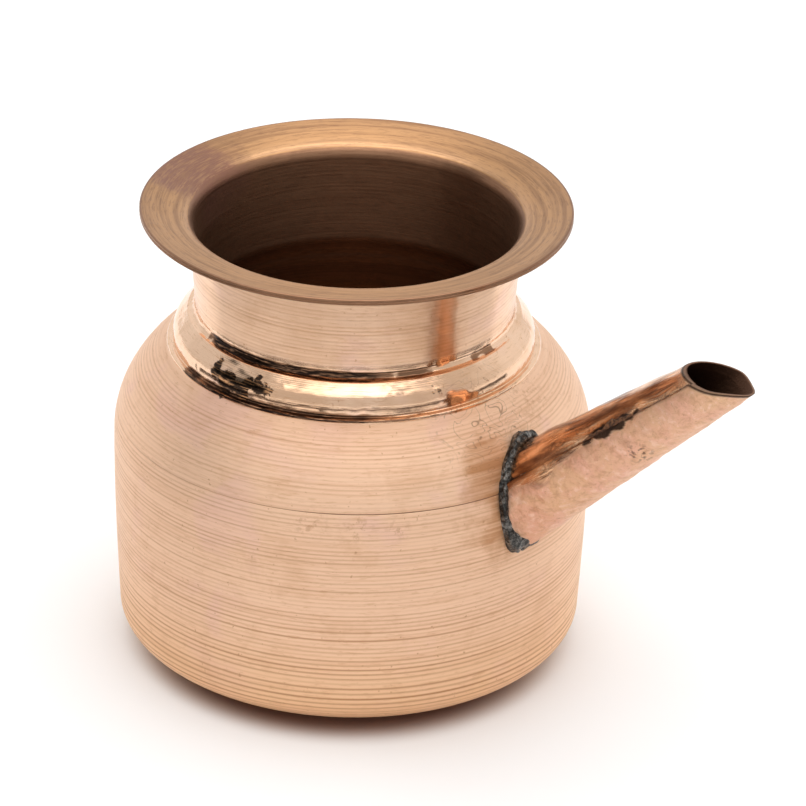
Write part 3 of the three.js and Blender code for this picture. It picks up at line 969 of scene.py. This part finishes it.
def spout_tube():
    """The rolled tube: its outside from foot to mouth, the lip, and its inside back down."""
    rows, around = 150, 160
    angles = LAP_ANGLE + np.linspace(0, 2 * math.pi - 0.02, around)
    t = np.linspace(0, 1, rows)[:, None]
    sunk = 0.3
    start = leaves_belly(angles) - sunk
    lap = lap_height(angles)
    along = start + (mouth_at(angles, lap) - start) * t
    turn = np.broadcast_to(angles, along.shape)
    p = on_spout(along, turn, spout_radius(along) + lap)
    underside = math.radians(165) + math.radians(20) * (1 - t)
    matt = smooth(np.cos(turn - underside) + 0.08 * LUMPS(p, 4.0), -0.22, 0.0)
    rough = 0.035 * PITTING(p, 1.1) * matt + 0.06 * DENTS(p, 6.0)
    fade = smooth(1 - t, 0.0, 0.03)
    p = pinch(on_spout(along, turn, spout_radius(along) + lap + rough * fade), turn, t)
    q = spout_bore(angles, start, t[::-1])
    lip = (p[-1] + q[0]) / 2 + np.array([0, 0, 0.08])
    vertices = np.concatenate([p.reshape(-1, 3), lip, q.reshape(-1, 3)])
    obj = make_object("spout_rolled", vertices, grid_faces(2 * rows + 1, around, close_rows=True))
    fix_normals(obj)

    def mark(name, outside, on_lip, within):
        outside = np.broadcast_to(outside, turn.shape).ravel()
        rest = [np.full(around, on_lip), np.full(rows * around, within)]
        set_attribute(obj, name, np.concatenate([outside, *rest]))

    mark("bright", (1 - matt) * (1 - 0.5 * smooth(t, 0.93, 1.0)), 0.0, 0.0)
    mark("inside", 0.0, 0.6, 1.0)
    mark("edge", spout_marks(p, along, turn, t), 0.5, 0.0)
    return obj


def pinch(p, turn, t):
    """Draws the mouth's far end in to a narrow pouring lip."""
    ahead = smooth(-np.cos(turn), 0.0, 1.0)
    squeeze = 1 - 0.38 * ahead * smooth(t, 0.80, 1.0)
    return p * np.stack([np.ones_like(squeeze), squeeze, np.ones_like(squeeze)], -1)


def belly_normal(p):
    """The way out of the belly at each of those points on it."""
    slope = (belly_radius(p[:, 2] + 0.1) - belly_radius(p[:, 2] - 0.1)) / 0.2
    radius = np.hypot(p[:, 0], p[:, 1])
    n = np.stack([p[:, 0] / radius, p[:, 1] / radius, -slope], 1)
    return n / np.linalg.norm(n, axis=1)[:, None]


def fillet_width(angle, start):
    """Width of the fillet: thick on the near side, with a knob at each end, and thin on the far side."""
    heavy = smooth(np.cos(angle - math.radians(72)), -0.12, 0.12)
    knob = np.exp(-(((angle - math.radians(12)) / 0.22) ** 2))
    tail = np.exp(-(((angle - math.radians(146)) / 0.34) ** 2))
    return 0.5 + 1.0 * heavy + 0.22 * heavy * LUMPS(start, 5.0) + 1.1 * knob + 1.0 * tail


def joint_solder():
    """The lumpy fillet round the spout's foot."""
    around, across = 320, 18
    angle = np.arange(around) * 2 * math.pi / around
    along = leaves_belly(angle)
    start = on_spout(along, angle, spout_radius(along))
    belly = belly_normal(start)
    spout = radial(angle)
    ahead = np.roll(start, -1, 0) - np.roll(start, 1, 0)
    over = np.cross(ahead, belly)
    over /= np.linalg.norm(over, axis=1)[:, None]
    over *= np.sign((over * spout).sum(1))[:, None]
    width = fillet_width(angle, start)[:, None]
    sunk = start - (belly + spout) * 0.15
    rings = []
    for t in np.linspace(0, 1, across):
        a = t * math.pi / 2
        rings.append(sunk + (over * math.cos(a) ** 0.65 + AXIS * math.sin(a) ** 0.65) * width)
    p = np.stack(rings, 1)
    swell = 0.09 * LUMPS(p, 2.4) + 0.06 * PITTING(p, 1.2)
    shape = np.sin(np.linspace(0.12, math.pi - 0.12, across))
    lift = belly[:, None] + spout[:, None]
    p = p + lift * (swell * shape * width)[..., None]
    core = sunk[:, None] - (belly + spout)[:, None] * 0.25
    p = np.concatenate([p, core], 1)
    obj = make_object("joint_fillet", p.reshape(-1, 3), grid_faces(around, across + 1, close_rows=True))
    fix_normals(obj)
    return obj


def lap_solder():
    """Filler in the step of the lap, ragged along its edge."""
    rows, across = 200, 6
    above_foot, below_mouth = 2.5, 1.2
    start = float(leaves_belly(np.array(LAP_ANGLE))) + above_foot
    end = float(mouth_at(np.array(LAP_ANGLE), 0.0)) - below_mouth
    along = np.linspace(start, end, rows)
    radius = spout_radius(along)
    p = on_spout(along, np.full(rows, LAP_ANGLE), radius)
    patch = np.exp(-(((along - BURN_ALONG) / 7) ** 2))
    ragged = 0.45 + 1.1 * patch + (0.12 + 0.35 * patch) * LUMPS(p, 1.8) + 0.08 * LUMPS(p, 0.7)
    width = np.clip(ragged, 0.2, 2.2) * smooth(along, start, start + 3)
    height = SHEET * 0.7
    rings = []
    for t in np.linspace(0, 1, across):
        angle = LAP_ANGLE + (0.1 - width * t) / radius
        rise = height * (1 - t) ** 1.6 - 0.05
        rings.append(on_spout(along, angle, radius + rise))
    rings.append(on_spout(along, LAP_ANGLE - width * 0.5 / radius, radius - 0.25))
    rings.append(on_spout(along, np.full(rows, LAP_ANGLE) + 0.1 / radius, radius - 0.25))
    p = np.stack(rings, 1)
    n = p.shape[1]
    caps = [tuple(range(n)), tuple(range((rows - 1) * n, rows * n))]
    obj = make_object("lap_filler", p.reshape(-1, 3), grid_faces(rows, n) + caps)
    fix_normals(obj)
    return obj


# ---- Studio ----


def camera():
    """Looks down at the pot from its front, slightly rolled."""
    back = np.array(
        [
            math.sin(CAMERA_AZIMUTH) * math.cos(CAMERA_ELEVATION),
            -math.cos(CAMERA_AZIMUTH) * math.cos(CAMERA_ELEVATION),
            math.sin(CAMERA_ELEVATION),
        ]
    )
    right = np.array([math.cos(CAMERA_AZIMUTH), math.sin(CAMERA_AZIMUTH), 0])
    up = np.cross(back, right)
    c, s = math.cos(CAMERA_ROLL), math.sin(CAMERA_ROLL)
    rolled_right, rolled_up = right * c + up * s, up * c - right * s
    data = bpy.data.cameras.new("camera")
    data.lens = CAMERA_LENS
    data.sensor_width = CAMERA_SENSOR
    data.clip_start, data.clip_end = 0.1, 20
    obj = put_in_scene("camera", data)
    place = np.array([0, 0, AIM_Z]) + back * CAMERA_DISTANCE + rolled_right * AIM_RIGHT + rolled_up * AIM_UP
    turn = Matrix((rolled_right, rolled_up, back)).transposed().to_4x4()
    obj.matrix_world = Matrix.Translation(Vector(place * MM)) @ turn
    bpy.context.scene.camera = obj


def floor():
    """White paper, with a painted brown shadow under the pot that deepens its contact shadow."""
    side = 8.0
    mesh = bpy.data.meshes.new("floor")
    corners = [(-side, -side, 0), (side, -side, 0), (side, side, 0), (-side, side, 0)]
    mesh.from_pydata(corners, [], [(0, 1, 2, 3)])
    obj = put_in_scene("floor", mesh)
    m = Nodes("floor_paper")
    paper = m.mix(m.ramp(m.noise(None, 3.0), 0.3, 0.7), PAPER, PAPER_LIGHT)
    # Painted shadow: brown laid into the paper round the pot's foot, a little towards the camera.
    paper = m.mix(m.near(around_front(0, 7, 0), 0.034, 0.046), paper, PAINTED_SHADOW_BROWN)
    mesh.materials.append(m.finish(paper, 0.9, 0.0))


def around_camera(azimuth, elevation):
    """A direction from the pot: azimuth 0 is the camera's side, and 90 the right of the view."""
    a = CAMERA_AZIMUTH + math.radians(azimuth)
    e = math.radians(elevation)
    return Vector((math.sin(a) * math.cos(e), -math.cos(a) * math.cos(e), math.sin(e)))


def studio_world():
    """A white room for the copper to reflect, brighter overhead and behind, darker at the left.

    The camera itself sees plain white.
    """
    world = bpy.data.worlds.new("studio")
    bpy.context.scene.world = world
    world.use_nodes = True
    w = Tree(world.node_tree)
    way = w.node("ShaderNodeTexCoord").outputs["Generated"]

    def patch(azimuth, elevation, outer, inner, amount):
        """A round patch of the room: that amount inside its inner angle, none past its outer one."""
        dot = w.node("ShaderNodeVectorMath", way, around_camera(azimuth, elevation), operation="DOT_PRODUCT")
        edges = (math.cos(math.radians(outer)), math.cos(math.radians(inner)))
        return w.math("MULTIPLY", w.ramp(dot.outputs["Value"], *edges), amount)

    left, front = patch(-78, 22, 22, 13, 0.9), patch(0, 12, 55, 35, 0.06)
    overhead, behind = patch(0, 90, 40, 34, 1.65), patch(160, 5, 85, 35, 0.20)
    walls = w.math("MULTIPLY", w.math("SUBTRACT", 1.0, w.math("MAXIMUM", left, front)), 0.72)
    strength = w.math("ADD", walls, w.math("ADD", overhead, behind))
    camera_ray = w.node("ShaderNodeLightPath").outputs["Is Camera Ray"]
    background = w.node("ShaderNodeBackground", (1, 1, 1, 1), w.math("MAXIMUM", strength, camera_ray))
    w.node("ShaderNodeOutputWorld", background.outputs[0])


def dark_card():
    """A dark ring lying round the front of the pot, which only the copper's reflections show."""
    near, far, reach, steps = 0.186, 0.42, 105, 24
    ways = [around_camera(-reach + 2 * reach * i / steps, 0) for i in range(steps + 1)]
    points = [tuple(way * r + Vector((0, 0, 0.001))) for way in ways for r in (near, far)]
    faces = [(2 * i, 2 * i + 1, 2 * i + 3, 2 * i + 2) for i in range(steps)]
    mesh = bpy.data.meshes.new("dark_card")
    mesh.from_pydata(points, [], faces)
    obj = put_in_scene("dark_card", mesh)
    m = Nodes("card_paper")
    mesh.materials.append(m.finish(CARD, 0.9, 0.0))
    obj.visible_camera = False
    obj.visible_diffuse = False
    obj.visible_shadow = False


# ---- Assembly ----


def add(obj, material, node):
    """Gives a piece its material, hangs it under the root, and hides the imported part of that node."""
    obj.data.materials.clear()
    obj.data.materials.append(material)
    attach(obj, "root")
    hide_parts(node)


bpy.context.scene.view_settings.view_transform = "Standard"
camera()
studio_world()
floor()
dark_card()
add(lower_bowl(), turned_copper("bowl_copper"), "lower_bowl")
add(upper_shell(), turned_copper("shell_copper"), "upper_shell")
add(seam_ring(), braze_metal(), "body_seam_braze")
add(spout_tube(), rolled_copper(), "spout_tube")
add(joint_solder(), solder_metal(), "spout_joint_solder")
add(lap_solder(), oxide(), "spout_seam_solder")
